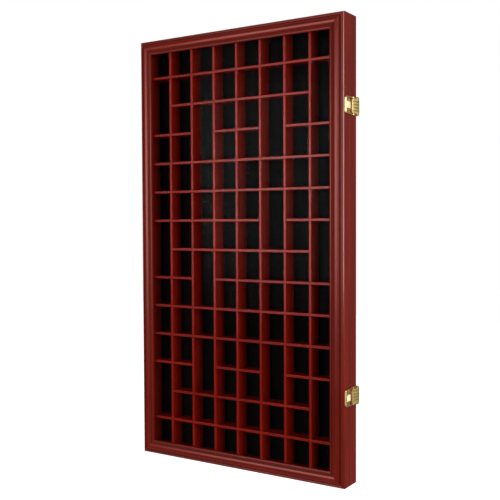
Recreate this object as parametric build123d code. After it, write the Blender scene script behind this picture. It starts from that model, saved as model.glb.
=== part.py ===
"""Wall-hung display case for thimbles: a shallow wooden case with a grid of cells and a glazed door.

Millimetres. X runs to the viewer's right, Y towards the wall, Z up. The pieces are drawn about the
middle of the case's back. save() then sets them down so that the origin lies on the wall plane,
halfway between the round entries of the two keyhole hangers.
"""
import os
from math import atan2, cos, degrees, hypot, radians

from build123d import *

# ---- grid of cells -------------------------------------------------------------------------
columns = 8
rows = 14
cell_width = 37.6
cell_height = 41.2
slat = 4.0                 # thickness of the dividers and shelves
grid_depth = 23.1          # front to back
slat_edge_round = 0.7      # on the front edges
lap_play = 0.1             # each side of a slat in the slot of another
# cells that take two rows, as (column, upper row), counted from the top left
double_cells = [
    (1, 2), (1, 7), (1, 12),
    (3, 3), (3, 8), (3, 11),
    (6, 3), (6, 6), (6, 11),
    (8, 2), (8, 7), (8, 12),
]

# ---- case ----------------------------------------------------------------------------------
liner = 3.0                # boards round the grid
case_wall = 13.4
case_depth = 22.0          # wall plane to the seam with the door
panel = 3.0                # back panel
panel_bite = 4.0           # how far the panel enters the grooves in the walls
panel_play = 0.1           # panel in its groove, each side
felt = 0.9
back_recess = 7.7          # back panel to wall plane
seam_edge_round = 0.3      # outer edges of the case and the door beside the seam
wall_edge_round = 0.8      # outer edges of the case at the wall

# ---- door ----------------------------------------------------------------------------------
seam = 0.4                 # gap between the case and the closed door
door_depth = 16.9          # seam to the front arris
door_to_liner = 0.9        # gap between the door's members and the boards that stand into it
pane = 1.5                 # clear sheet
pane_play = 0.1            # in front of and behind the sheet in its groove
pane_bite = 2.5            # how far the sheet enters the members
pane_edge_play = 0.4
lip = 2.4                  # wood in front of the sheet

# moulding on the door's front: widths from the outer edge inwards, heights over the front arris,
# and for those that aren't even, how far across their width the named height lies
arris_round = 2.0
outer_bead = 3.0
outer_bead_rise = 1.9
outer_bead_foot = 0.9      # height at which the outer bead runs into its quirk
quirk = 1.7
quirk_floor = 0.3
cove = 1.9                 # rises to the band
cove_foot = 1.7
cove_low = 2.1
cove_low_at = 0.7
band = 8.0
band_shoulder = 3.7        # height of the band's outer edge
band_rise = 3.9            # height halfway across
band_inner_edge = 2.4
inner_quirk = 2.2
inner_quirk_floor = 1.1
inner_quirk_floor_at = 0.4
inner_bead = 3.2
inner_bead_foot = 1.7
inner_bead_rise = 2.0
inner_bead_rise_at = 0.45
inner_bead_edge = 1.0      # height at the edge of the opening

# ---- screws, all alike -----------------------------------------------------------------------
screw_head = 1.9           # radius
screw_head_depth = 1.0
screw_shank = 1.0          # radius
screw_length = 7.0
screw_slot = 0.5           # width and depth of the driver slot
hole_play = 0.05           # round a shank and beyond its tip

# ---- butt hinges -----------------------------------------------------------------------------
hinge_spread = 420.0       # between the middles of the two hinges
hinge_length = 38.0
hinge_leaf = 1.0           # thickness
hinge_leaf_width = 9.6
hinge_pin = 1.0            # radius
pin_play = 0.05            # running fit of every pin
knuckle = 1.9              # outer radius
knuckle_count = 5
knuckle_gap = 0.3          # between knuckles
knuckle_stand_off = 0.3    # knuckle to the side of the case
pin_head = 1.5             # radius
pin_head_depth = 0.8
pin_head_round = 0.6
hinge_screw_inset = 8.0    # from each end of a leaf

# ---- toggle latches --------------------------------------------------------------------------
latch_spread = 407.0       # between the middles of the two latches
catch_plate = 1.0
catch_length = 13.6        # along the depth of the door
catch_half_height = 11.4
catch_to_seam = 1.4        # plate's rear edge to the seam's middle
catch_screw_half_spread = 9.0
catch_screw_to_seam = 5.4
block_half_height = 4.8    # raised block that the link hooks over
block_rise = 2.7
block_length = 11.0
block_flat = 9.0           # level part of the block; behind it the top slopes to the plate
block_round = 0.8
block_to_bar = 0.3         # block to the link's bar

link_bar = 1.6             # width of the link's bar and arms
link_thickness = 1.4
link_clearance = 0.3       # link to the catch plate
link_half_height = 12.0    # outer, at the bar
link_corner = 2.6          # outer corners of the link and of the catch's plate
link_inner_corner = 1.8

lever_pivot_rise = 2.9     # pivot over the side of the case
lever_pivot_to_seam = 4.0
trunnion = 0.7             # radius of the stubs that carry the link
trunnion_rise = 2.3
trunnion_back = 3.5        # behind the pivot
trunnion_end = 0.4         # beyond the link's eye
eye_wall = 0.9
lever_shell = 0.9          # thickness of the lever's pressed metal
lever_top_rise = 5.6
lever_front = 2.5          # front edge, behind the seam's middle
lever_cheek_half = 10.6    # outer half height of the narrow front part
lever_wide_half = 13.2     # half height of the fan
lever_neck = 10.3          # where the fan starts to widen, behind the seam's middle
lever_widest = 14.8        # where it is widest
lever_back = 20.3          # fan's rear end
lever_shoulder_half = 8.2  # half height of the scalloped rear edge
lever_corner_along = 0.75  # shares of the way from the widest place to the rear end,
lever_corner_across = 0.9  # and of the half height, that the fan's rounded corners pass
scallop_rise = 0.7
lever_lift = 1.1           # lower edge of the cheeks over the side of the case
cheek_front_rise = 4.4     # height of the cheeks at their front
cheek_slope = 5.5          # length over which they rise to full height
ramp_gap = 0.6             # thumb ramp to the base's ears
ramp_front_rise = 2.3
ramp_length = 9.7          # along the case's depth, up to full height
rib_count = 4
rib_pitch = 4.3
rib_radius = 1.1
rib_depth = 0.45
side_gap = 0.3             # between latch pieces that move on each other
ear = 1.2                  # thickness of the base's ears
ear_round = 1.5            # ear's outer radius round the pivot
pivot_pin = 0.8            # radius
pivot_pin_inset = 0.1      # pin's ends inside the outer faces of the lever
base_plate = 1.0
base_front = 1.5           # base plate's front edge, behind the seam's middle
base_back = 16.5
base_corner = 2.4
base_screw_to_seam = 12.6
base_screw_half_spread = 4.6

# ---- keyhole hangers -------------------------------------------------------------------------
hanger_spread = 254.0
hanger_plate = 1.5
hanger_width = 16.0
hanger_height = 42.0
hanger_corner = 3.0
keyhole_entry = 4.5        # radius of the round hole that passes a screw's head
keyhole_neck = 2.3         # radius of the slot's closed end
keyhole_travel = 10.0      # entry to the slot's end
hanger_screw_inset = 5.0   # from each end of the plate
pocket_side = 1.0          # room for the screw's head beside and above the keyhole
pocket_depth = 5.5
rail_height = 46.0
hanger_drop = 24.0         # middle of the plates below the case's top wall

cut_margin = 5.0           # how far a cutting shape runs past what it cuts

# ---- worked out ------------------------------------------------------------------------------
grid_width = columns * cell_width + (columns - 1) * slat
grid_height = rows * cell_height + (rows - 1) * slat
lined_width = grid_width + 2 * liner
lined_height = grid_height + 2 * liner
case_width = lined_width + 2 * case_wall
case_height = lined_height + 2 * case_wall

case_front = -case_depth
seam_middle = case_front - seam / 2
door_back = case_front - seam
door_front = door_back - door_depth
panel_back = -back_recess
panel_front = panel_back - panel
felt_front = panel_front - felt
grid_front = felt_front - grid_depth
origin_height = case_height / 2 - case_wall - hanger_drop


def save(name, shape):
    """Write one node, moved from the middle of the back to the point between the hangers."""
    os.makedirs("parts", exist_ok=True)
    placed = Pos(0, 0, -origin_height) * shape
    placed.label = name
    export_step(placed, f"parts/{name}.step")


def group(shapes):
    """Alike loose solids that share one node."""
    return Compound(children=[shape.solid() for shape in shapes])


def block_between(low, high):
    """A box from its lowest to its highest corner."""
    size = [b - a for a, b in zip(low, high)]
    return Pos(*low) * Box(*size, align=(Align.MIN, Align.MIN, Align.MIN))


def upright(radius, bottom, top, x, y):
    """A vertical cylinder."""
    return Pos(x, y, bottom) * Cylinder(
        radius, top - bottom, align=(Align.CENTER, Align.CENTER, Align.MIN)
    )


# ---- frames: four mitred members -------------------------------------------------------------
def mitred_bar(section, length, depth):
    """A bar along X with its outer edge on Z = 0 and its section below, cut at 45 degrees."""
    bar = extrude(section, amount=length / 2, both=True)
    outline = Polyline(
        (-length / 2 - cut_margin, cut_margin),
        (length / 2 + cut_margin, cut_margin),
        (length / 2 - depth - cut_margin, -depth - cut_margin),
        (-length / 2 + depth + cut_margin, -depth - cut_margin),
        close=True,
    )
    wedge = extrude(Plane.XZ * make_face(outline), amount=2 * (case_depth + door_depth), both=True)
    return (bar & wedge).solid()


def frame_of_four(section, width, height, depth):
    """Top, right, bottom and left member of a mitred frame, each turned from the top's place."""
    members = {}
    for turn, name in enumerate(("top", "right", "bottom", "left")):
        across = turn % 2 == 0
        length, reach = (width, height) if across else (height, width)
        bar = mitred_bar(section, length, depth)
        members[name] = Rot(0, 90 * turn, 0) * Pos(0, 0, reach / 2) * bar
    return members


def rounded_at(face, corners, radius):
    """The face with the vertices at these places rounded."""
    near = 1e-4
    picked = [v for v in face.vertices() if any((Vector(v) - Vector(*c)).length < near for c in corners)]
    return fillet(picked, radius)


def case_section():
    """Section of a case wall, as (Y, Z) with the outer side on Z = 0."""
    rim = make_face(
        Polyline(
            (case_front, 0),
            (0, 0),
            (0, -case_wall),
            (panel_back + panel_play, -case_wall),
            (panel_back + panel_play, -case_wall + panel_bite + panel_play),
            (panel_front - panel_play, -case_wall + panel_bite + panel_play),
            (panel_front - panel_play, -case_wall),
            (case_front, -case_wall),
            close=True,
        )
    )
    rim = rounded_at(rim, [(case_front, 0)], seam_edge_round)
    return Plane.YZ * rounded_at(rim, [(0, 0)], wall_edge_round)


def door_section():
    """Section of a door member, as (Y, Z) with the outer side on Z = 0 and the moulding in front."""

    def at(inward, rise):
        return (door_front - rise, -inward)

    bead_end = arris_round + outer_bead
    cove_start = bead_end + quirk
    band_start = cove_start + cove
    band_end = band_start + band
    inner_start = band_end + inner_quirk
    opening = inner_start + inner_bead
    member_depth = case_wall - door_to_liner
    groove = member_depth - pane_bite - pane_edge_play
    groove_back = lip + 2 * pane_play + pane
    diagonal = arris_round * (1 - cos(radians(45)))
    edges = [
        Line(at(0, -door_depth), at(0, -arris_round)),
        ThreePointArc(at(0, -arris_round), at(diagonal, -diagonal), at(arris_round, 0)),
        ThreePointArc(
            at(arris_round, 0),
            at(arris_round + outer_bead / 2, outer_bead_rise),
            at(bead_end, outer_bead_foot),
        ),
        ThreePointArc(
            at(bead_end, outer_bead_foot),
            at(bead_end + quirk / 2, quirk_floor),
            at(cove_start, cove_foot),
        ),
        ThreePointArc(
            at(cove_start, cove_foot),
            at(cove_start + cove * cove_low_at, cove_low),
            at(band_start, band_shoulder),
        ),
        ThreePointArc(
            at(band_start, band_shoulder),
            at(band_start + band / 2, band_rise),
            at(band_end, band_inner_edge),
        ),
        ThreePointArc(
            at(band_end, band_inner_edge),
            at(band_end + inner_quirk * inner_quirk_floor_at, inner_quirk_floor),
            at(inner_start, inner_bead_foot),
        ),
        ThreePointArc(
            at(inner_start, inner_bead_foot),
            at(inner_start + inner_bead * inner_bead_rise_at, inner_bead_rise),
            at(opening, inner_bead_edge),
        ),
        Polyline(
            at(opening, inner_bead_edge),
            at(opening, -lip),
            at(groove, -lip),
            at(groove, -groove_back),
            at(member_depth, -groove_back),
            at(member_depth, -door_depth),
            at(0, -door_depth),
        ),
    ]
    outline = make_face(Wire([edge for piece in edges for edge in piece.edges()]))
    return Plane.YZ * rounded_at(outline, [at(0, -door_depth)], seam_edge_round)


door_face = arris_round + outer_bead + quirk + cove + band + inner_quirk + inner_bead


# ---- grid ------------------------------------------------------------------------------------
def divider_x(number):
    """Middle of a divider, counted from the left."""
    return -grid_width / 2 + number * (cell_width + slat) - slat / 2


def shelf_z(number):
    """Middle of a shelf, below this row."""
    return grid_height / 2 - number * (cell_height + slat) + slat / 2


def shelf_runs(number):
    """First and last column of each shelf piece below this row: double cells interrupt it."""
    held = {column for column, upper in double_cells if upper == number}
    runs, first = [], None
    for column in range(1, columns + 2):
        open_here = column in held or column > columns
        if not open_here and first is None:
            first = column
        if open_here and first is not None:
            runs.append((first, column - 1))
            first = None
    return runs


def with_round_front(board, axis):
    """A slat with its two long front edges rounded."""
    front_edges = board.edges().filter_by(axis).group_by(Axis.Y)[0]
    return fillet(front_edges, slat_edge_round)


def shelf_ends(first, last):
    """Left and right end of a shelf piece: each butts against a divider or a liner."""
    left = -grid_width / 2 if first == 1 else divider_x(first - 1) + slat / 2
    right = grid_width / 2 if last == columns else divider_x(last) - slat / 2
    return left, right


lap_middle = felt_front - grid_depth / 2


def make_divider(number):
    """Full-height divider, slotted from the front for every shelf that crosses it."""
    x = divider_x(number)
    board = block_between(
        (x - slat / 2, grid_front, -grid_height / 2), (x + slat / 2, felt_front, grid_height / 2)
    )
    board = with_round_front(board, Axis.Z)
    for shelf in range(1, rows):
        if any(first <= number < last for first, last in shelf_runs(shelf)):
            z = shelf_z(shelf)
            half = slat / 2 + lap_play
            board -= block_between(
                (x - slat, grid_front - cut_margin, z - half), (x + slat, lap_middle, z + half)
            )
    return board


def make_shelf(number, first, last):
    """Shelf piece, slotted from the back over every divider that it crosses."""
    left, right = shelf_ends(first, last)
    z = shelf_z(number)
    board = block_between((left, grid_front, z - slat / 2), (right, felt_front, z + slat / 2))
    board = with_round_front(board, Axis.X)
    for crossed in range(first, last):
        x = divider_x(crossed)
        half = slat / 2 + lap_play
        board -= block_between(
            (x - half, lap_middle, z - slat), (x + half, felt_front + cut_margin, z + slat)
        )
    return board


def make_liners():
    """Four boards round the grid: the upright ones stand between the other two."""
    outer_x, outer_z = lined_width / 2, lined_height / 2
    inner_x, inner_z = grid_width / 2, grid_height / 2
    return {
        "liner_top": block_between((-outer_x, grid_front, inner_z), (outer_x, felt_front, outer_z)),
        "liner_bottom": block_between((-outer_x, grid_front, -outer_z), (outer_x, felt_front, -inner_z)),
        "liner_left": block_between((-outer_x, grid_front, -inner_z), (-inner_x, felt_front, inner_z)),
        "liner_right": block_between((inner_x, grid_front, -inner_z), (outer_x, felt_front, inner_z)),
    }


# ---- screws ----------------------------------------------------------------------------------
def screw_body(play=0.0):
    """Countersunk screw along Z: its head's face at Z = 0 and its shank below."""
    on_top = (Align.CENTER, Align.CENTER, Align.MAX)
    head = Cone(screw_shank, screw_head, screw_head_depth, align=on_top)
    shank = Cylinder(screw_shank + play, screw_length + play, align=on_top)
    return head + shank


def screw():
    """The screw with its driver slot."""
    return screw_body() - Box(2 * (screw_head + cut_margin), screw_slot, 2 * screw_slot)


def drilled(shape, places):
    """The shape with the screw's seat and hole cut at each place."""
    for place in places:
        shape -= place * screw_body(hole_play)
    return shape


# ---- hinges ----------------------------------------------------------------------------------
pin_x = -case_width / 2 - knuckle_stand_off - knuckle
pin_y = seam_middle
hinge_middles = (hinge_spread / 2, -hinge_spread / 2)
knuckle_length = (hinge_length - (knuckle_count - 1) * knuckle_gap) / knuckle_count


def hinge_screw_places(middle, door_side):
    """Screw places of one leaf: heads towards the seam, shanks into the wood."""
    y = door_back if door_side else case_front
    x = -case_width / 2 + hinge_leaf_width / 2
    turn = -90 if door_side else 90
    offset = hinge_length / 2 - hinge_screw_inset
    return [Pos(x, y, middle + s * offset) * Rot(turn, 0, 0) * Rot(0, 0, 90) for s in (-1, 1)]


def leaf_depths(door_side):
    """Low and high Y of a leaf."""
    if door_side:
        return door_back - hinge_leaf, door_back
    return case_front, case_front + hinge_leaf


def leaf_plate(middle, door_side):
    """The flat of a leaf, let into the wood flush with its face."""
    low_y, high_y = leaf_depths(door_side)
    return block_between(
        (-case_width / 2, low_y, middle - hinge_length / 2),
        (-case_width / 2 + hinge_leaf_width, high_y, middle + hinge_length / 2),
    )


def make_leaf(middle, door_side):
    """Leaf with its knuckles: the case leaf has the first and last."""
    plate = leaf_plate(middle, door_side)
    low_y, high_y = leaf_depths(door_side)
    bore = hinge_pin + (pin_play if door_side else 0)
    start = middle - hinge_length / 2
    for index in range(knuckle_count):
        if (index % 2 == 1) != door_side:
            continue
        bottom = start + index * (knuckle_length + knuckle_gap)
        top = bottom + knuckle_length
        web = block_between((pin_x, low_y, bottom), (-case_width / 2, high_y, top))
        plate += web + upright(knuckle, bottom, top, pin_x, pin_y)
        plate -= upright(bore, bottom, top, pin_x, pin_y)
    return drilled(plate, hinge_screw_places(middle, door_side)).solid()


def make_hinge_pin(middle):
    """Pin with a domed head at each end."""
    bottom, top = middle - hinge_length / 2, middle + hinge_length / 2
    pin = upright(hinge_pin, bottom, top, pin_x, pin_y)
    for base, turn in ((top, 0), (bottom, 180)):
        head = Cylinder(pin_head, pin_head_depth, align=(Align.CENTER, Align.CENTER, Align.MIN))
        head = fillet(head.edges().group_by(Axis.Z)[-1], pin_head_round)
        pin += Pos(pin_x, pin_y, base) * Rot(turn, 0, 0) * head
    return pin


# ---- latches: drawn with U out of the case's side, V behind the seam's middle and W up ---------
latch_middles = (latch_spread / 2, -latch_spread / 2)
latch_plane = Plane(
    origin=(case_width / 2, seam_middle, 0), x_dir=(0, 1, 0), z_dir=(1, 0, 0)
)                          # local x = V, local y = W, local z = U


def on_side(shape, middle):
    """From the latch's own directions to the right side of the case, at this height."""
    return Pos(0, 0, middle) * (latch_plane * shape)


def plate_of(outline, low, high):
    """A flat piece from its outline in (V, W) between two heights over the side."""
    return Pos(0, 0, low) * extrude(outline, amount=high - low)


def cheek_profile(points):
    """A face in (V, U), to be extruded along W."""
    return make_face(Polyline(*points, close=True))


def along_w(face, low, high):
    """Extrude a face drawn in (V, U) from one W to another."""
    standing = Plane(origin=(0, low, 0), x_dir=(1, 0, 0), z_dir=(0, 1, 0))
    flipped = mirror(face, about=Plane.XZ)
    return extrude(standing * flipped, amount=high - low)


def pin_along_w(radius, v, u, low, high):
    """A pin along W."""
    return along_w(Pos(v, u) * Circle(radius), low, high)


def catch_screw_places():
    """Screw places of a catch in the latch's own directions."""
    return [Pos(-catch_screw_to_seam, s * catch_screw_half_spread, catch_plate) for s in (-1, 1)]


def base_screw_places():
    """Screw places of a latch base in the latch's own directions."""
    return [Pos(base_screw_to_seam, s * base_screw_half_spread, base_plate) for s in (-1, 1)]


catch_front = -catch_to_seam - catch_length
link_low = catch_plate + link_clearance
link_front = catch_front - side_gap
bar_back = link_front + link_bar
block_front = bar_back + block_to_bar


def make_catch():
    """Catch: a plate with rounded front corners and a raised block that the link hooks over."""
    outline = Pos(catch_front + catch_length / 2, 0) * Rectangle(catch_length, 2 * catch_half_height)
    outline = fillet(outline.vertices().group_by(Axis.X)[0], link_corner)
    plate = plate_of(outline, 0, catch_plate)
    top = catch_plate + block_rise
    profile = cheek_profile(
        [
            (block_front, 0),
            (block_front, top),
            (block_front + block_flat, top),
            (block_front + block_length, catch_plate),
            (block_front + block_length, 0),
        ]
    )
    hook = along_w(profile, -block_half_height, block_half_height)
    hook = fillet(hook.edges().group_by(Axis.Z)[-1], block_round)
    return drilled(plate + hook, catch_screw_places()).solid()


def trunnion_place():
    """(V, U) of the stubs that carry the link."""
    return lever_pivot_to_seam + trunnion_back, trunnion_rise


def make_link():
    """Link: a bar in front of the catch's block and two arms back to the lever's stubs."""
    v, u = trunnion_place()
    inner = lever_cheek_half + side_gap
    outer = inner + link_bar
    high = link_low + link_thickness
    half = link_half_height
    flare = lever_front - side_gap
    outside = make_face(
        Polyline(
            (link_front, -half),
            (link_front, half),
            (flare, outer),
            (v, outer),
            (v, -outer),
            (flare, -outer),
            close=True,
        )
    )
    outside = fillet(outside.vertices().group_by(Axis.X)[0], link_corner)
    hole = make_face(
        Polyline(
            (bar_back, -half + link_bar),
            (bar_back, half - link_bar),
            (flare, inner),
            (v + outer, inner),
            (v + outer, -inner),
            (flare, -inner),
            close=True,
        )
    )
    hole = fillet(hole.vertices().group_by(Axis.X)[0], link_inner_corner)
    link = plate_of(outside, link_low, high)
    link -= plate_of(hole, link_low - cut_margin, high + cut_margin)
    for low, top in ((inner, outer), (-outer, -inner)):
        link += pin_along_w(trunnion + eye_wall, v, u, low, top)
    link -= pin_along_w(trunnion + pin_play, v, u, -outer, outer)
    return link.solid()


def fan_outline(inset):
    """Lever seen from the side: narrow in front, widening to a scalloped fan at the rear."""
    narrow = lever_cheek_half - inset
    wide = lever_wide_half - inset
    back = lever_back - inset
    neck = lever_neck + inset / 2
    shoulder = lever_shoulder_half * wide / lever_wide_half
    pitch = 2 * shoulder / (rib_count + 1)
    dip = back - scallop_rise
    corner_v = lever_widest + (back - lever_widest) * lever_corner_along
    corner_w = wide * lever_corner_across
    curves = [
        Line((lever_front + inset, -narrow), (neck, -narrow)),
        Line((neck, -narrow), (lever_widest, -wide)),
        ThreePointArc((lever_widest, -wide), (corner_v, -corner_w), (dip, -shoulder)),
    ]
    for index in range(rib_count + 1):
        low = -shoulder + index * pitch
        curves.append(ThreePointArc((dip, low), (back, low + pitch / 2), (dip, low + pitch)))
    curves += [
        ThreePointArc((dip, shoulder), (corner_v, corner_w), (lever_widest, wide)),
        Line((lever_widest, wide), (neck, narrow)),
        Line((neck, narrow), (lever_front + inset, narrow)),
        Line((lever_front + inset, narrow), (lever_front + inset, -narrow)),
    ]
    return make_face(Wire([edge for curve in curves for edge in curve.edges()]))


def make_lever():
    """Lever: two cheeks, a ribbed thumb ramp that rises to the rear, pivot holes and stubs."""
    v, u = trunnion_place()
    top = lever_top_rise
    shell = plate_of(fan_outline(0), lever_lift, top)
    room = plate_of(fan_outline(lever_shell), lever_lift - cut_margin, top + cut_margin)
    mouth = block_between(
        (lever_front - cut_margin, -lever_cheek_half + lever_shell, lever_lift - cut_margin),
        (lever_front + 2 * lever_shell, lever_cheek_half - lever_shell, top + cut_margin),
    )
    cheeks = shell - room - mouth
    ramp_start = lever_pivot_to_seam + ear_round + ramp_gap
    ramp_end = ramp_start + ramp_length
    ramp = cheek_profile(
        [
            (ramp_start, ramp_front_rise),
            (ramp_end, top),
            (lever_back, top),
            (lever_back, top - lever_shell),
            (ramp_end, top - lever_shell),
            (ramp_start, ramp_front_rise - lever_shell),
        ]
    )
    lever = cheeks + (along_w(ramp, -lever_wide_half, lever_wide_half) & shell)
    fall = cheek_profile(
        [
            (lever_front - cut_margin, cheek_front_rise),
            (lever_front, cheek_front_rise),
            (lever_front + cheek_slope, top),
            (lever_front + cheek_slope, top + cut_margin),
            (lever_front - cut_margin, top + cut_margin),
        ]
    )
    lever -= along_w(fall, -lever_wide_half, lever_wide_half)
    slope = degrees(atan2(top - ramp_front_rise, ramp_length))
    run = hypot(top - ramp_front_rise, ramp_length)
    for index in range(rib_count):
        w = (index - (rib_count - 1) / 2) * rib_pitch
        groove = Pos(0, 0, rib_radius - rib_depth) * Rot(0, 90, 0) * Cylinder(rib_radius, run)
        middle = Pos(ramp_start + ramp_length / 2, w, (top + ramp_front_rise) / 2)
        lever -= middle * Rot(0, -slope, 0) * groove
    reach = lever_cheek_half + side_gap + link_bar + trunnion_end
    for low, high in ((lever_cheek_half - lever_shell, reach), (-reach, -lever_cheek_half + lever_shell)):
        lever += pin_along_w(trunnion, v, u, low, high)
    lever -= pin_along_w(
        pivot_pin + pin_play, lever_pivot_to_seam, lever_pivot_rise, -lever_cheek_half, lever_cheek_half
    )
    return lever.solid()


def ear_places():
    """Low and high W of the base's two ears, just inside the lever's cheeks."""
    outer = lever_cheek_half - lever_shell - side_gap
    return ((outer - ear, outer), (-outer, ear - outer))


def make_base():
    """Latch base: a plate screwed to the case, with two ears that hold the pivot pin."""
    outer = ear_places()[0][1]
    outline = Pos((base_front + base_back) / 2, 0) * Rectangle(base_back - base_front, 2 * outer)
    outline = fillet(outline.vertices().group_by(Axis.X)[-1], base_corner)
    base = plate_of(outline, 0, base_plate)
    pivot = (lever_pivot_to_seam, lever_pivot_rise)
    for low, high in ear_places():
        web = cheek_profile(
            [
                (pivot[0] - ear_round, 0),
                (pivot[0] - ear_round, pivot[1]),
                (pivot[0] + ear_round, pivot[1]),
                (pivot[0] + ear_round, 0),
            ]
        )
        base += along_w(web, low, high) + pin_along_w(ear_round, *pivot, low, high)
        base -= pin_along_w(pivot_pin, *pivot, low, high)
    return drilled(base, base_screw_places()).solid()


def make_pivot_pin():
    """Pin through both ears and both cheeks of the lever."""
    reach = lever_cheek_half - pivot_pin_inset
    return pin_along_w(pivot_pin, lever_pivot_to_seam, lever_pivot_rise, -reach, reach)


# ---- hangers ---------------------------------------------------------------------------------
hanger_z = origin_height
hanger_xs = (-hanger_spread / 2, hanger_spread / 2)


def facing_wall(outline, x, depth_from, depth_to):
    """An outline in (X, Z) about a hanger's keyhole, extruded between two depths from the wall."""
    face = Plane(origin=(x, 0, hanger_z), x_dir=(1, 0, 0), z_dir=(0, -1, 0)) * outline
    return Pos(0, -depth_from, 0) * extrude(face, amount=depth_to - depth_from)


def keyhole():
    """Keyhole outline: round entry at the origin, slot above it."""
    slot = Pos(0, keyhole_travel / 2) * Rectangle(2 * keyhole_neck, keyhole_travel)
    end = Pos(0, keyhole_travel) * Circle(keyhole_neck)
    return Circle(keyhole_entry) + slot + end


def hanger_outline():
    """Plate outline, with the keyhole's middle at the plate's middle."""
    return RectangleRounded(hanger_width, hanger_height, hanger_corner)


def hanger_screw_places():
    """Screw places of both hangers, heads towards the wall."""
    offset = hanger_height / 2 - hanger_screw_inset
    return [Pos(x, 0, hanger_z + s * offset) * Rot(-90, 0, 0) for x in hanger_xs for s in (-1, 1)]


def make_hanger(x):
    """Keyhole plate, let into the rail flush with the wall plane."""
    plate = facing_wall(hanger_outline(), x, 0, hanger_plate)
    plate -= facing_wall(keyhole(), x, -cut_margin, hanger_plate + cut_margin)
    return drilled(plate, hanger_screw_places()).solid()


def make_hanging_rail():
    """Board behind the back panel, with a seat for each plate and a pocket for each wall screw."""
    top = case_height / 2 - case_wall
    half = lined_width / 2
    rail = block_between((-half, panel_back, top - rail_height), (half, 0, top))
    pocket = RectangleRounded(
        2 * (keyhole_entry + pocket_side),
        2 * (keyhole_entry + pocket_side) + keyhole_travel,
        keyhole_entry,
    )
    for x in hanger_xs:
        rail -= facing_wall(hanger_outline(), x, -cut_margin, hanger_plate)
        rail -= facing_wall(Pos(0, keyhole_travel / 2) * pocket, x, 0, pocket_depth)
    return drilled(rail, hanger_screw_places()).solid()


# ---- everything --------------------------------------------------------------------------------
def case_nodes():
    """Case walls, back, felt and hanging rail."""
    walls = frame_of_four(case_section(), case_width, case_height, case_wall)
    for middle in hinge_middles:
        walls["left"] -= leaf_plate(middle, False)
        walls["left"] = drilled(walls["left"], hinge_screw_places(middle, False))
    for middle in latch_middles:
        for place in base_screw_places():
            walls["right"] -= on_side(place * screw_body(hole_play), middle)
    nodes = {f"case_{name}": wall.solid() for name, wall in walls.items()}
    half_x, half_z = lined_width / 2, lined_height / 2
    nodes["back_panel"] = block_between(
        (-half_x - panel_bite, panel_front, -half_z - panel_bite),
        (half_x + panel_bite, panel_back, half_z + panel_bite),
    )
    nodes["felt_lining"] = block_between((-half_x, felt_front, -half_z), (half_x, panel_front, half_z))
    nodes["hanging_rail"] = make_hanging_rail()
    nodes["hanger_plates"] = group([make_hanger(x) for x in hanger_xs])
    return nodes


def grid_nodes():
    """Liners, dividers and shelves."""
    nodes = make_liners()
    for number in range(1, columns):
        nodes[f"divider_{number}"] = make_divider(number)
    for number in range(1, rows):
        for first, last in shelf_runs(number):
            nodes[f"shelf_{number:02d}_cols_{first}_{last}"] = make_shelf(number, first, last)
    return nodes


def door_nodes():
    """Door members and pane."""
    members = frame_of_four(door_section(), case_width, case_height, door_face)
    for middle in hinge_middles:
        members["left"] -= leaf_plate(middle, True)
        members["left"] = drilled(members["left"], hinge_screw_places(middle, True))
    for middle in latch_middles:
        for place in catch_screw_places():
            members["right"] -= on_side(place * screw_body(hole_play), middle)
    names = {"top": "door_top_rail", "bottom": "door_bottom_rail"}
    names |= {"left": "door_left_stile", "right": "door_right_stile"}
    nodes = {names[side]: member.solid() for side, member in members.items()}
    inset = case_wall - door_to_liner - pane_bite
    sheet_front = door_front + lip + pane_play
    half_x, half_z = case_width / 2 - inset, case_height / 2 - inset
    nodes["door_pane"] = block_between(
        (-half_x, sheet_front, -half_z), (half_x, sheet_front + pane, half_z)
    )
    return nodes


def hinge_nodes():
    """Hinge leaves and pins."""
    nodes = {}
    for place, middle in zip(("upper", "lower"), hinge_middles):
        nodes[f"hinge_{place}_case_leaf"] = make_leaf(middle, False)
        nodes[f"hinge_{place}_door_leaf"] = make_leaf(middle, True)
    nodes["hinge_pins"] = group([make_hinge_pin(middle) for middle in hinge_middles])
    return nodes


def latch_nodes():
    """Catches, links, levers and bases of both latches, and their pivot pins."""
    nodes = {}
    for place, middle in zip(("upper", "lower"), latch_middles):
        nodes[f"catch_{place}"] = on_side(make_catch(), middle)
        nodes[f"latch_{place}_link"] = on_side(make_link(), middle)
        nodes[f"latch_{place}_lever"] = on_side(make_lever(), middle)
        nodes[f"latch_{place}_base"] = on_side(make_base(), middle)
    nodes["latch_pivot_pins"] = group([on_side(make_pivot_pin(), middle) for middle in latch_middles])
    return nodes


def screw_nodes():
    """Every screw, alike: one group in the door and one in the case."""
    door_places = [place for middle in hinge_middles for place in hinge_screw_places(middle, True)]
    case_places = [place for middle in hinge_middles for place in hinge_screw_places(middle, False)]
    case_places += hanger_screw_places()
    door_screws = [place * screw() for place in door_places]
    case_screws = [place * screw() for place in case_places]
    for middle in latch_middles:
        door_screws += [on_side(place * screw(), middle) for place in catch_screw_places()]
        case_screws += [on_side(place * screw(), middle) for place in base_screw_places()]
    return {"door_screws": group(door_screws), "case_screws": group(case_screws)}


def main():
    """Write every node."""
    for nodes in (case_nodes(), grid_nodes(), door_nodes(), hinge_nodes(), latch_nodes(), screw_nodes()):
        for name, shape in nodes.items():
            save(name, shape)


main()
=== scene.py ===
"""Looks of the thimble display case: finishes, softened edges, light and camera.

Metres, in the row frame: the wall plane is Y = 0, the door faces -Y and Z runs up.
"""

from math import cos, radians, sin

import bpy
from mathutils import Matrix, Vector

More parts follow.
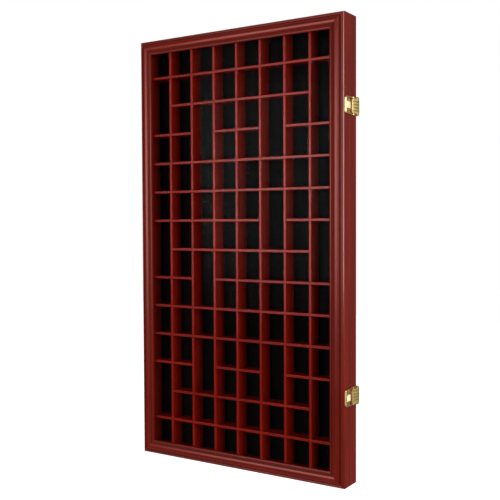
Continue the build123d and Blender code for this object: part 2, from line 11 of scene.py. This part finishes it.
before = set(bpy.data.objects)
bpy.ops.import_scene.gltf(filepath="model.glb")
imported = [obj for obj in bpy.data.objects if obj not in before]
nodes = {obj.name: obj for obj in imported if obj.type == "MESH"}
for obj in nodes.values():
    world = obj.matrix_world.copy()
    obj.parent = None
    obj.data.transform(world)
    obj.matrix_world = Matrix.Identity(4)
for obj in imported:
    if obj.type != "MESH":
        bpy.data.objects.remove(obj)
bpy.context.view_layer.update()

# ---- places that the finishes follow -----------------------------------------------------------
half_width = 0.1808
half_height = 0.3308
middle_z = -0.2934
front_arris = -0.0393  # depth of the door's outer front edge
latch_height = 0.2035  # of each latch above or below the middle of the case

# Gathered stain and painted shade in the moulding's quirks: distances in from the outer edge, as
# (start, end).
moulding_quirks = ((0.0053, 0.0070), (0.0164, 0.0184))
quirk_front = (0.0035, 0.0015)  # back from the front arris: where it fades out, where it is full

# The film of lacquer on the upright arris: where it fades out and where it is full.
film_side = (0.0016, 0.0012)  # in from the case's side
film_front = (0.0007, 0.0003)  # back from the front arris
film_lean = 0.35  # how far its surface leans out, against its distance from the side

# The latches' brass, by height from a latch's middle.
# The lever's grooves are darkened with tarnish and painted shade of the ribs.
thumb_grooves = (0.00215, 0.00645)
groove_edge = (0.0014, 0.0005)  # from a groove's middle: where the tarnish and painted shade fade out, where they are full
block_half = 0.0048
block_face = (0.0014, 0.0018)  # out from the case's side: where the painted highlight starts, where it is full

# ---- colours -----------------------------------------------------------------------------------
stain_light = (0.138, 0.0072, 0.0022, 1.0)
stain_dark = (0.100, 0.0050, 0.0016, 1.0)
# The deepest stain: real stain in the pores; in the moulding's quirks, gathered stain and painted
# shade.
deep_stain_and_shade = (0.036, 0.0018, 0.0009, 1.0)
# The grid's boards take a lighter, redder copy of the stain: painted light on the cell walls. The
# liners keep the plain stain.
grid_lit_light = (0.195, 0.0060, 0.0017, 1.0)
grid_lit_dark = (0.142, 0.0043, 0.0013, 1.0)
lacquer_tint = (1.0, 0.42, 0.39, 1.0)
board_pale = (0.210, 0.085, 0.045, 1.0)
board_dark = (0.085, 0.030, 0.016, 1.0)
felt_pale = (0.0030, 0.0028, 0.0030, 1.0)
felt_dark = (0.0012, 0.0011, 0.0012, 1.0)
lint_colour = (0.05, 0.045, 0.05, 1.0)
brass_bright = (0.83, 0.60, 0.255, 1.0)
brass_dull = (0.52, 0.33, 0.125, 1.0)
plate_bright = (0.62, 0.46, 0.22, 1.0)
plate_dull = (0.36, 0.25, 0.12, 1.0)
screw_bright = (0.26, 0.17, 0.075, 1.0)
screw_dull = (0.12, 0.075, 0.035, 1.0)
lever_bright = (0.80, 0.58, 0.185, 1.0)
lever_dull = (0.56, 0.38, 0.115, 1.0)
# Tarnish and painted shade in the lever's grooves.
groove_tarnish_and_shade_colour = (0.27, 0.18, 0.055, 1.0)
# Colour of the painted highlight on the catch's block.
painted_highlight_colour = (0.98, 0.90, 0.60, 1.0)
sheet_colour = (0.985, 0.992, 0.99, 1.0)
sheet_shade = (0.95, 0.96, 0.96, 1.0)  # of the light that falls through the sheet
sheet_alpha = 0.01
white = (1.0, 1.0, 1.0, 1.0)

usual = (0.3, 0.7)  # most values of a noise lie between these
along_x = 0
along_z = 2


def grey(value):
    return (value, value, value, 1.0)


# ---- node helpers ------------------------------------------------------------------------------
class Tree:
    """A node tree, with short calls for the few kinds used here."""

    def __init__(self, owner):
        owner.use_nodes = True
        self.nodes = owner.node_tree.nodes
        self.links = owner.node_tree.links
        self.nodes.clear()

    def put(self, socket, value):
        """Link a socket, or set a constant."""
        if isinstance(value, bpy.types.NodeSocket):
            self.links.new(value, socket)
        else:
            socket.default_value = value

    def math(self, operation, a, b=0.0, clamp=False):
        node = self.nodes.new("ShaderNodeMath")
        node.operation = operation
        node.use_clamp = clamp
        self.put(node.inputs[0], a)
        self.put(node.inputs[1], b)
        return node.outputs[0]

    def distance(self, a, b):
        """How far apart two values are."""
        return self.math("ABSOLUTE", self.math("SUBTRACT", a, b))

    def remap(self, value, low, high, to_low=0.0, to_high=1.0, smooth=False):
        node = self.nodes.new("ShaderNodeMapRange")
        node.interpolation_type = "SMOOTHSTEP" if smooth else "LINEAR"
        self.put(node.inputs["Value"], value)
        node.inputs["From Min"].default_value = low
        node.inputs["From Max"].default_value = high
        node.inputs["To Min"].default_value = to_low
        node.inputs["To Max"].default_value = to_high
        return node.outputs["Result"]

    def split(self, vector):
        """The three parts of a vector."""
        node = self.nodes.new("ShaderNodeSeparateXYZ")
        self.links.new(vector, node.inputs[0])
        return node.outputs


class Finish(Tree):
    """A material with one shader on its surface."""

    def __init__(self, name):
        self.material = bpy.data.materials.new(name)
        super().__init__(self.material)
        self.output = self.nodes.new("ShaderNodeOutputMaterial")
        self.shader = self.nodes.new("ShaderNodeBsdfPrincipled")
        self.links.new(self.shader.outputs[0], self.output.inputs["Surface"])
        coordinates = self.nodes.new("ShaderNodeTexCoord")
        self.place = coordinates.outputs["Object"]

    def set(self, **values):
        """Link or set the shader's inputs, named with underscores."""
        for name, value in values.items():
            self.put(self.shader.inputs[name.replace("_", " ")], value)

    def piece_shift(self):
        """A shift and a number that differ from piece to piece, so that no two boards look alike."""
        info = self.nodes.new("ShaderNodeObjectInfo")
        node = self.nodes.new("ShaderNodeVectorMath")
        node.operation = "SCALE"
        node.inputs[0].default_value = (3.1, 1.7, 2.3)
        self.links.new(info.outputs["Random"], node.inputs["Scale"])
        return node.outputs[0], info.outputs["Random"]

    def stretched(self, scale, shift=None):
        """The place on the piece, scaled by three factors and moved first by a shift."""
        vector = self.place
        if shift is not None:
            moved = self.nodes.new("ShaderNodeVectorMath")
            moved.operation = "ADD"
            self.put(moved.inputs[0], vector)
            self.put(moved.inputs[1], shift)
            vector = moved.outputs[0]
        node = self.nodes.new("ShaderNodeVectorMath")
        node.operation = "MULTIPLY"
        self.put(node.inputs[0], vector)
        node.inputs[1].default_value = scale
        return node.outputs[0]

    def noise(self, scale, shift=None, detail=3.0, roughness=0.5, distortion=0.0):
        """Noise with so many specks to the metre, one number for all axes or one for each."""
        if not isinstance(scale, (list, tuple)):
            scale = (scale, scale, scale)
        vector = self.stretched(scale, shift)
        node = self.nodes.new("ShaderNodeTexNoise")
        self.put(node.inputs["Vector"], vector)
        node.inputs["Scale"].default_value = 1.0
        node.inputs["Detail"].default_value = detail
        node.inputs["Roughness"].default_value = roughness
        node.inputs["Distortion"].default_value = distortion
        return node.outputs["Fac"]

    def mix(self, factor, a, b):
        node = self.nodes.new("ShaderNodeMix")
        node.data_type = "RGBA"
        self.put(node.inputs["Factor"], factor)
        self.put(node.inputs["A"], a)
        self.put(node.inputs["B"], b)
        return node.outputs["Result"]

    def bump(self, height, strength, distance, seen=True):
        """Raise the surface by a height, on top of what raises it already.

        The raised normal is returned. Where it isn't to be seen, the surface stays as it is.
        """
        node = self.nodes.new("ShaderNodeBump")
        self.put(node.inputs["Strength"], strength)
        node.inputs["Distance"].default_value = distance
        self.links.new(height, node.inputs["Height"])
        normal = self.shader.inputs["Normal"]
        if normal.is_linked:
            self.links.new(normal.links[0].from_socket, node.inputs["Normal"])
        if seen:
            self.links.new(node.outputs[0], normal)
        return node.outputs[0]


# ---- finishes ----------------------------------------------------------------------------------
def film_on_arris(finish, from_side, y):
    """Put a glossy film of lacquer on the upright arris; it runs thin towards the case's side."""
    side = finish.remap(from_side, *film_side, smooth=True)
    front = finish.remap(y, *(front_arris + back for back in film_front))
    film = finish.math("MULTIPLY", side, front)
    lean = finish.math("MULTIPLY", film, film_lean)
    lip = finish.bump(from_side, strength=lean, distance=1.0, seen=False)
    finish.set(Coat_Weight=film, Coat_IOR=1.70, Coat_Roughness=0.14, Coat_Normal=lip)


def stained_wood(name, along, quirks=(), light=stain_light, dark=stain_dark, gloss=0.50):
    """Cherry-stained, lacquered board.

    along: the axis of the grain.
    quirks: distances in from the outer edge where stain has gathered and shade of the recess is
    painted, as (start, end).
    A board with quirks also has the film of lacquer on its upright outer arris.
    """
    finish = Finish(name)
    shift, chance = finish.piece_shift()

    def grain(length, width, **character):
        """Noise drawn out along the grain."""
        scale = [1 / width, 1 / width, 1 / width]
        scale[along] = 1 / length
        return finish.noise(scale, shift, **character)

    streaks = grain(length=0.19, width=0.011, detail=4.0, roughness=0.55, distortion=0.6)
    fibre = grain(length=0.030, width=0.0009, detail=3.0, roughness=0.6)
    pores = grain(length=0.0075, width=0.00042, detail=1.0)
    clouds = finish.noise(9, shift, detail=2.0)

    tone = finish.remap(streaks, 0.36, 0.66, 0.15, 1.0, smooth=True)
    tone = finish.math("ADD", tone, finish.remap(fibre, *usual, -0.25, 0.25))
    tone = finish.math("ADD", tone, finish.remap(clouds, *usual, -0.16, 0.16))
    tone = finish.math("ADD", tone, finish.remap(chance, 0.0, 1.0, -0.10, 0.10), clamp=True)
    colour = finish.mix(tone, dark, light)
    pore = finish.remap(pores, 0.33, 0.24, 0.0, 0.65, smooth=True)
    colour = finish.mix(pore, colour, deep_stain_and_shade)

    matt = 0.0
    if quirks:
        x, y, z = finish.split(finish.place)
        from_side = finish.math("SUBTRACT", half_width, finish.math("ABSOLUTE", x))
        from_end = finish.math("SUBTRACT", half_height, finish.distance(z, middle_z))
        inward = finish.math("MINIMUM", from_side, from_end)
        on_front = finish.remap(y, *(front_arris + back for back in quirk_front))
        # Each quirk darkens towards the deepest stain: gathered stain, and painted shade of the
        # recess.
        for start, end in quirks:
            middle, half = (start + end) / 2, (end - start) / 2
            off = finish.distance(inward, middle)
            depth = finish.remap(off, half * 1.35, half * 0.35, 0.0, 0.8, smooth=True)
            quirk_stain_and_shade = finish.math("MULTIPLY", depth, on_front)
            colour = finish.mix(quirk_stain_and_shade, colour, deep_stain_and_shade)
            matt = finish.math("MAXIMUM", matt, quirk_stain_and_shade)
        film_on_arris(finish, from_side, y)

    relief = finish.math("MULTIPLY", fibre, 0.5)
    relief = finish.math("ADD", relief, finish.remap(pores, 0.24, 0.36))
    finish.bump(relief, strength=0.05, distance=0.00012)
    rough = finish.remap(fibre, *usual, 0.19, 0.23)
    rough = finish.math("ADD", rough, finish.remap(clouds, *usual, 0.0, 0.04))
    rough = finish.math("ADD", rough, finish.math("MULTIPLY", matt, 0.40))
    finish.set(Base_Color=colour, Roughness=rough, IOR=1.5)
    finish.set(Specular_IOR_Level=gloss, Specular_Tint=lacquer_tint)
    return finish.material


def pressed_board():
    """Thin stained board: pressed fibres, matt."""
    finish = Finish("pressed_board")
    shift, _ = finish.piece_shift()
    fibres = finish.noise(1300, shift, detail=3.0, distortion=1.5)
    blotches = finish.noise(22, shift, detail=4.0)
    tone = finish.remap(fibres, *usual, 0.1, 0.7)
    tone = finish.math("ADD", tone, finish.remap(blotches, *usual, -0.2, 0.3), clamp=True)
    finish.bump(fibres, strength=0.35, distance=0.0002)
    finish.set(Base_Color=finish.mix(tone, board_dark, board_pale))
    finish.set(Roughness=finish.remap(fibres, *usual, 0.62, 0.8))
    return finish.material


def felt():
    """Black felt: matted fibres with a little fuzz and a few specks of lint."""
    finish = Finish("black_felt")
    shift, _ = finish.piece_shift()
    mat = finish.noise(2200, shift, detail=4.0, distortion=2.5)
    tufts = finish.noise(420, shift, detail=3.0, distortion=1.0)
    specks = finish.noise(900, shift, detail=0.0)
    colour = finish.mix(finish.remap(mat, 0.35, 0.7), felt_dark, felt_pale)
    colour = finish.mix(finish.remap(specks, 0.82, 0.88, 0.0, 0.3), colour, lint_colour)
    finish.bump(finish.math("ADD", mat, tufts), strength=0.4, distance=0.0003)
    finish.set(Base_Color=colour, Roughness=finish.remap(tufts, *usual, 0.88, 0.98))
    finish.set(Sheen_Weight=0.01, Sheen_Roughness=0.5, Specular_IOR_Level=0.03)
    return finish.material


def brass(name, bright, dull, rough=0.32, grooves=(), highlight_half=0.0, lacquer=1.0, plating=1.0):
    """Lacquered brass plate with faint tarnish and fine rubbing marks.

    grooves: distances from a latch's middle height at which tarnish and painted shade gather in a
    groove.
    highlight_half: half the height of a catch's block, whose outer face carries a painted highlight,
    pale and satin.
    plating: 1 for bright metal, lower where a haze on it scatters light.
    """
    finish = Finish(name)
    shift, _ = finish.piece_shift()
    tarnish = finish.noise(260, shift, detail=4.0, roughness=0.6)
    marks = finish.noise((9000, 900, 1800), shift, detail=2.0)
    worn = finish.remap(tarnish, 0.48, 0.72, 0.0, 0.55, smooth=True)
    finish.bump(marks, strength=0.08, distance=0.00003)
    rough_map = finish.remap(marks, *usual, rough - 0.04, rough + 0.05)
    rough_map = finish.math("ADD", rough_map, finish.remap(tarnish, 0.4, 0.7, 0.0, 0.10))
    colour = finish.mix(worn, bright, dull)
    if grooves or highlight_half:
        x, y, z = finish.split(finish.place)
        from_latch = finish.distance(finish.distance(z, middle_z), latch_height)
    # Each groove darkens: tarnish, and painted shade of the ribs.
    for groove in grooves:
        off = finish.distance(from_latch, groove)
        groove_tarnish_and_shade = finish.remap(off, *groove_edge, 0.0, 0.7, smooth=True)
        colour = finish.mix(groove_tarnish_and_shade, colour, groove_tarnish_and_shade_colour)
    metal = plating
    # The block's outer face is painted pale, satin and less metallic: a painted highlight.
    if highlight_half:
        level = finish.remap(from_latch, highlight_half + 0.0002, highlight_half - 0.0004)
        outside = finish.remap(x, *(half_width + out for out in block_face))
        block_highlight = finish.math("MULTIPLY", level, outside)
        block_highlight = finish.math("MULTIPLY", block_highlight, finish.remap(tarnish, 0.70, 0.40, 0.75, 1.0))
        colour = finish.mix(block_highlight, colour, painted_highlight_colour)
        metal = finish.remap(block_highlight, 0.0, 1.0, 1.0, 0.25)
        rough_map = finish.math("ADD", rough_map, finish.math("MULTIPLY", block_highlight, 0.15))
    finish.set(Base_Color=colour, Roughness=rough_map, Metallic=metal)
    finish.set(Coat_Weight=lacquer, Coat_Roughness=rough * 0.8)
    return finish.material


def clear_sheet():
    """Clear acrylic, hardly to be seen, that lets the lamps through."""
    finish = Finish("clear_acrylic")
    smears = finish.noise((30, 30, 12), detail=3.0)
    finish.set(Base_Color=sheet_colour, Transmission_Weight=1.0, IOR=1.49, Alpha=sheet_alpha)
    finish.set(Roughness=finish.remap(smears, 0.45, 0.75, 0.0, 0.015))
    path = finish.nodes.new("ShaderNodeLightPath")
    through = finish.nodes.new("ShaderNodeBsdfTransparent")
    through.inputs[0].default_value = sheet_shade
    both = finish.nodes.new("ShaderNodeMixShader")
    finish.links.new(path.outputs["Is Shadow Ray"], both.inputs[0])
    finish.links.new(finish.shader.outputs[0], both.inputs[1])
    finish.links.new(through.outputs[0], both.inputs[2])
    finish.links.new(both.outputs[0], finish.output.inputs["Surface"])
    return finish.material


wood_x = stained_wood("stained_wood_x", along_x)
wood_z = stained_wood("stained_wood_z", along_z)
moulding_x = stained_wood("moulded_wood_x", along_x, moulding_quirks)
moulding_z = stained_wood("moulded_wood_z", along_z, moulding_quirks)
# A lit copy of the stain for the grid's boards: painted light.
grid_lit_look = {"light": grid_lit_light, "dark": grid_lit_dark, "gloss": 0.40}
grid_x = stained_wood("grid_wood_x", along_x, **grid_lit_look)
grid_z = stained_wood("grid_wood_z", along_z, **grid_lit_look)
board_material = pressed_board()
felt_material = felt()
brass_material = brass("polished_brass", brass_bright, brass_dull)
plate_material = brass("dull_brass", plate_bright, plate_dull, rough=0.36)
screw_material = brass("aged_brass", screw_bright, screw_dull, rough=0.40)
lever_material = brass("ribbed_brass", lever_bright, lever_dull, grooves=thumb_grooves,
                       lacquer=0.3, plating=0.85)
catch_material = brass("catch_brass", brass_bright, brass_dull, highlight_half=block_half)
sheet_material = clear_sheet()

# ---- edges and finishes of the pieces ----------------------------------------------------------
soft_wood = 0.0002
soft_moulding = 0.00022
soft_sheet = 0.00015  # of the clear sheet and the hanger plates
soft_brass = 0.00012
soft_link = 0.00045
soft_screw = 0.00008
round_edge = 0.0003  # an edge softened by more than this is rounded in more steps

# What the name starts with, the finish, the softening of the edges and the slot; first match.
dressing = (
    (("door_top_rail", "door_bottom_rail"), moulding_x, soft_moulding, "frame_wood"),
    (("door_left_stile", "door_right_stile"), moulding_z, soft_moulding, "frame_wood"),
    (("door_pane",), sheet_material, soft_sheet, "pane"),
    (("felt_lining",), felt_material, 0.0, "felt"),
    (("back_panel",), board_material, soft_wood, "back_board"),
    (("divider",), grid_z, soft_wood, "grid_wood"),
    (("shelf",), grid_x, soft_wood, "grid_wood"),
    (("liner_left", "liner_right"), wood_z, soft_wood, "grid_wood"),
    (("liner",), wood_x, soft_wood, "grid_wood"),
    (("case_left", "case_right"), wood_z, soft_wood, "frame_wood"),
    (("hanger_plates",), plate_material, soft_sheet, "brass"),
    (("case_screws", "door_screws"), screw_material, soft_screw, "brass"),
    (("latch_upper_link", "latch_lower_link"), brass_material, soft_link, "brass"),
    (("latch_upper_lever", "latch_lower_lever"), lever_material, soft_brass, "brass"),
    (("catch",), catch_material, soft_brass, "brass"),
    (("hinge", "latch"), brass_material, soft_brass, "brass"),
    (("",), wood_x, soft_wood, "frame_wood"),
)


def dress(name):
    """Give a node its finish, weld its faces together and soften its edges."""
    piece = nodes[name]
    material, soft, slot = next(rule[1:] for rule in dressing if name.startswith(rule[0]))
    piece.data.materials.clear()
    piece.data.materials.append(material)
    for face in piece.data.polygons:
        face.use_smooth = True
    weld = piece.modifiers.new("weld", "WELD")
    weld.merge_threshold = 1e-6
    if soft:
        flat = piece.modifiers.new("flat", "DECIMATE")
        flat.decimate_type = "DISSOLVE"
        flat.angle_limit = radians(0.5)
        bevel = piece.modifiers.new("soft edges", "BEVEL")
        bevel.width = soft
        bevel.segments = 4 if soft > round_edge else 2
        bevel.limit_method = "ANGLE"
        bevel.angle_limit = radians(32)
        bevel.use_clamp_overlap = True
    normals = piece.modifiers.new("normals", "WEIGHTED_NORMAL")
    normals.keep_sharp = False


for node_name in nodes:
    dress(node_name)

# ---- floor, world and lamps --------------------------------------------------------------------
floor_z = -1.9
floor_half = 12.0
floor_dimming = (1.2, 3.6)  # from the middle: where a reflected floor starts to dim and stops
floor_glow = 0.93  # for the camera and through clear pieces, so that the floor shows as white


def make_floor():
    """Pale floor that shows as white, apart from the object's shadow."""
    mesh = bpy.data.meshes.new("floor")
    corners = [(x * floor_half, y * floor_half, floor_z)
               for x, y in ((-1, -1), (1, -1), (1, 1), (-1, 1))]
    mesh.from_pydata(corners, [], [(0, 1, 2, 3)])
    floor = bpy.data.objects.new("floor", mesh)
    bpy.context.scene.collection.objects.link(floor)
    finish = Finish("floor_finish")
    speck = finish.noise(40, detail=2.0)
    path = finish.nodes.new("ShaderNodeLightPath")
    pale = finish.mix(speck, grey(0.78), grey(0.84))
    x, y, z = finish.split(finish.place)
    away = finish.math("ADD", finish.math("MULTIPLY", x, x), finish.math("MULTIPLY", y, y))
    away = finish.math("SQRT", away)
    dim = finish.mix(finish.remap(away, *floor_dimming, smooth=True), grey(0.90), grey(0.34))
    seen = finish.math("ADD", path.outputs["Is Camera Ray"], path.outputs["Is Transmission Ray"],
                       clamp=True)
    finish.set(Base_Color=finish.mix(path.outputs["Is Glossy Ray"], pale, dim))
    finish.set(Roughness=finish.remap(speck, *usual, 0.7, 0.8))
    finish.set(Emission_Color=white, Emission_Strength=finish.math("MULTIPLY", seen, floor_glow))
    mesh.materials.append(finish.material)


def make_world():
    """White for the camera, dim for gloss and low for diffuse light."""
    world = bpy.data.worlds.new("studio")
    bpy.context.scene.world = world
    tree = Tree(world)
    output = tree.nodes.new("ShaderNodeOutputWorld")
    back = tree.nodes.new("ShaderNodeBackground")
    tree.links.new(back.outputs[0], output.inputs[0])
    path = tree.nodes.new("ShaderNodeLightPath")
    direction = tree.nodes.new("ShaderNodeTexCoord")
    right, rear, up = tree.split(direction.outputs["Generated"])

    def ramp(part, start, end, height):
        return tree.remap(part, start, end, 0.0, height, smooth=True)

    seen = tree.math("MAXIMUM", path.outputs["Is Camera Ray"],
                     path.outputs["Is Transmission Ray"])
    mirrored = tree.math("ADD", ramp(rear, 0.0, 0.6, 0.11), ramp(right, 0.42, 0.90, 0.66))
    mirrored = tree.math("ADD", mirrored, ramp(up, 0.66, 0.94, 0.7))
    mirrored = tree.math("ADD", mirrored, 0.02)
    glossy = tree.math("MULTIPLY", path.outputs["Is Glossy Ray"], mirrored)
    scattered = tree.math("ADD", ramp(right, 0.0, 1.0, 0.66), 0.15)
    diffuse = tree.math("MULTIPLY", path.outputs["Is Diffuse Ray"], scattered)
    strength = tree.math("MAXIMUM", seen, tree.math("ADD", glossy, diffuse))
    tree.put(back.inputs["Strength"], strength)
    tree.put(back.inputs["Color"], white)
    world.cycles.sampling_method = "NONE"


def soft_lamp(name, place, target, width, height, radiance, mirrored=True):
    """Area lamp aimed at a point; radiance 1 is white. Only a mirrored one shows in gloss."""
    data = bpy.data.lights.new(name, "AREA")
    data.shape = "RECTANGLE"
    data.size = width
    data.size_y = height
    data.energy = radiance * 4 * width * height
    lamp = bpy.data.objects.new(name, data)
    aim = (Vector(target) - Vector(place)).to_track_quat("-Z", "Y")
    lamp.matrix_world = Matrix.Translation(place) @ aim.to_matrix().to_4x4()
    lamp.visible_camera = False
    lamp.visible_glossy = mirrored
    bpy.context.scene.collection.objects.link(lamp)


make_floor()
make_world()
left_place = (-0.72, -2.10, -0.07)
left_target = (0.0, 0.0, -0.25)
left_width = 1.45
for left_height, left_radiance in ((0.40, 4.8), (0.80, 3.6), (1.15, 1.5)):
    soft_lamp(f"softbox_left_{round(100 * left_height)}", left_place, left_target,
              left_width, left_height, left_radiance)
soft_lamp("softbox_right", (2.10, -0.62, 0.00), (0.0, 0.0, -0.29),
          width=1.2, height=1.05, radiance=5.8)
soft_lamp("softbox_low", (0.96, 0.45, -0.50), (half_width, 0.0, -0.38),
          width=0.5, height=0.4, radiance=5.6, mirrored=False)

# ---- camera ------------------------------------------------------------------------------------
camera_place = (0.6774, -1.0523, -0.2521)
camera_yaw = 32.72  # degrees, turned left from looking along +Y
camera_pitch = 1.916  # degrees, down
camera_roll = -0.248  # degrees, below zero with the right side lower
focal_length = 58.53  # millimetres
sensor_width = 36.0  # millimetres


def make_camera():
    yaw, pitch, roll = radians(camera_yaw), radians(camera_pitch), radians(camera_roll)
    forward = Vector((-sin(yaw) * cos(pitch), cos(yaw) * cos(pitch), -sin(pitch)))
    right = forward.cross(Vector((0, 0, 1))).normalized()
    up = right.cross(forward)
    turned_right = cos(roll) * right + sin(roll) * up
    turned_up = cos(roll) * up - sin(roll) * right
    data = bpy.data.cameras.new("camera")
    data.sensor_width = sensor_width
    data.lens = focal_length
    data.clip_start = 0.02
    camera = bpy.data.objects.new("camera", data)
    axes = Matrix((turned_right, turned_up, -forward)).transposed().to_4x4()
    camera.matrix_world = Matrix.Translation(camera_place) @ axes
    bpy.context.scene.collection.objects.link(camera)
    bpy.context.scene.camera = camera


make_camera()
bpy.context.scene.view_settings.view_transform = "Standard"
